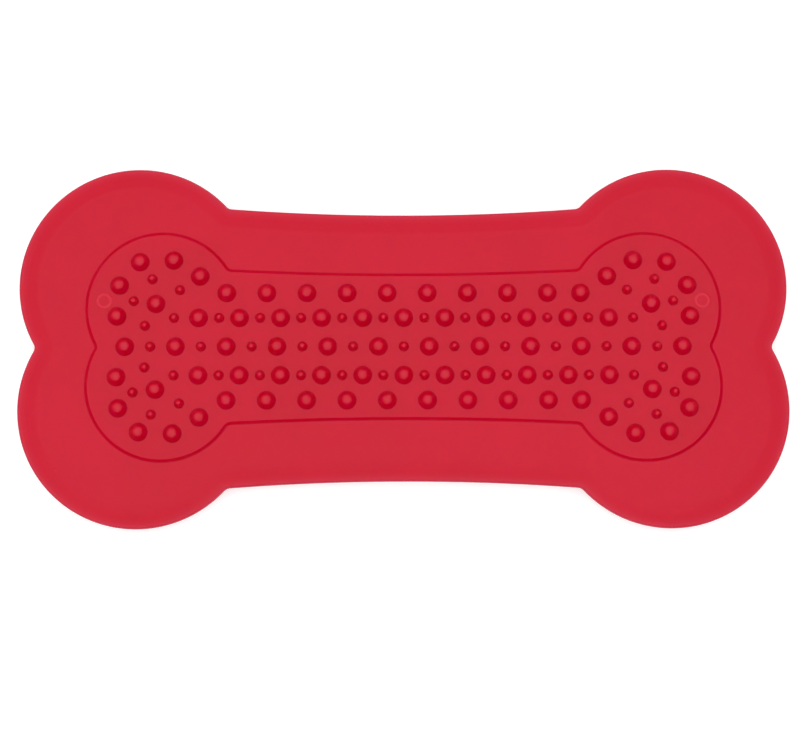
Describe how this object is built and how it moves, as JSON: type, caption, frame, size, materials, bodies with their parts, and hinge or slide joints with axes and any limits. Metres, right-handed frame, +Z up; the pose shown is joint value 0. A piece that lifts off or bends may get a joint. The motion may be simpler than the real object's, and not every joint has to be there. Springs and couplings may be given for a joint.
{
  "type": "lick mat",
  "caption": "Bone-shaped soft rubber lick mat with a bevelled border, a raised panel of large and small round nubs, and suction cups underneath.",
  "frame": {"origin": "on the surface that the suction cups stand on, below the middle of the mat", "axes": "+X along the bone, +Y across it towards the back edge of the picture, +Z up out of the nubs"},
  "size_m": [0.254, 0.1196, 0.0122],
  "materials": {
    "sheet_rubber": "satin red silicone, slightly translucent at the edge",
    "panel_rubber": "satin red silicone",
    "nub_rubber": "satin red silicone, smooth domes",
    "cup_rubber": "satin red silicone, smooth inside the dish"
  },
  "bodies": {
    "root": {"mat_sheet": "sheet_rubber", "lick_panel": "panel_rubber", "moulding_rings": "panel_rubber", "nub_row_1": "nub_rubber", "nub_row_2": "nub_rubber", "nub_row_3": "nub_rubber", "nub_row_4": "nub_rubber", "nub_row_5": "nub_rubber", "small_nub_row_2": "nub_rubber", "small_nub_row_3": "nub_rubber", "small_nub_row_4": "nub_rubber", "nub_lobe_back_left": "nub_rubber", "nub_lobe_back_right": "nub_rubber", "nub_lobe_front_left": "nub_rubber", "nub_lobe_front_right": "nub_rubber", "small_nub_lobe_back_left": "nub_rubber", "small_nub_lobe_back_right": "nub_rubber", "small_nub_lobe_front_left": "nub_rubber", "small_nub_lobe_front_right": "nub_rubber", "suction_cup_1_1": "cup_rubber", "suction_cup_1_2": "cup_rubber", "suction_cup_1_3": "cup_rubber", "suction_cup_1_4": "cup_rubber", "suction_cup_1_5": "cup_rubber", "suction_cup_1_6": "cup_rubber", "suction_cup_1_7": "cup_rubber", "suction_cup_1_8": "cup_rubber", "suction_cup_1_9": "cup_rubber", "suction_cup_2_1": "cup_rubber", "suction_cup_2_2": "cup_rubber", "suction_cup_2_3": "cup_rubber", "suction_cup_2_4": "cup_rubber", "suction_cup_2_5": "cup_rubber", "suction_cup_2_6": "cup_rubber", "suction_cup_2_7": "cup_rubber", "suction_cup_2_8": "cup_rubber", "suction_cup_2_9": "cup_rubber", "suction_cup_3_1": "cup_rubber", "suction_cup_3_2": "cup_rubber", "suction_cup_3_3": "cup_rubber", "suction_cup_3_4": "cup_rubber", "suction_cup_3_5": "cup_rubber", "suction_cup_3_6": "cup_rubber", "suction_cup_3_7": "cup_rubber", "suction_cup_3_8": "cup_rubber", "suction_cup_3_9": "cup_rubber", "crown_cup_back_left": "cup_rubber", "crown_cup_back_right": "cup_rubber", "crown_cup_front_left": "cup_rubber", "crown_cup_front_right": "cup_rubber"}
  },
  "joints": []
}
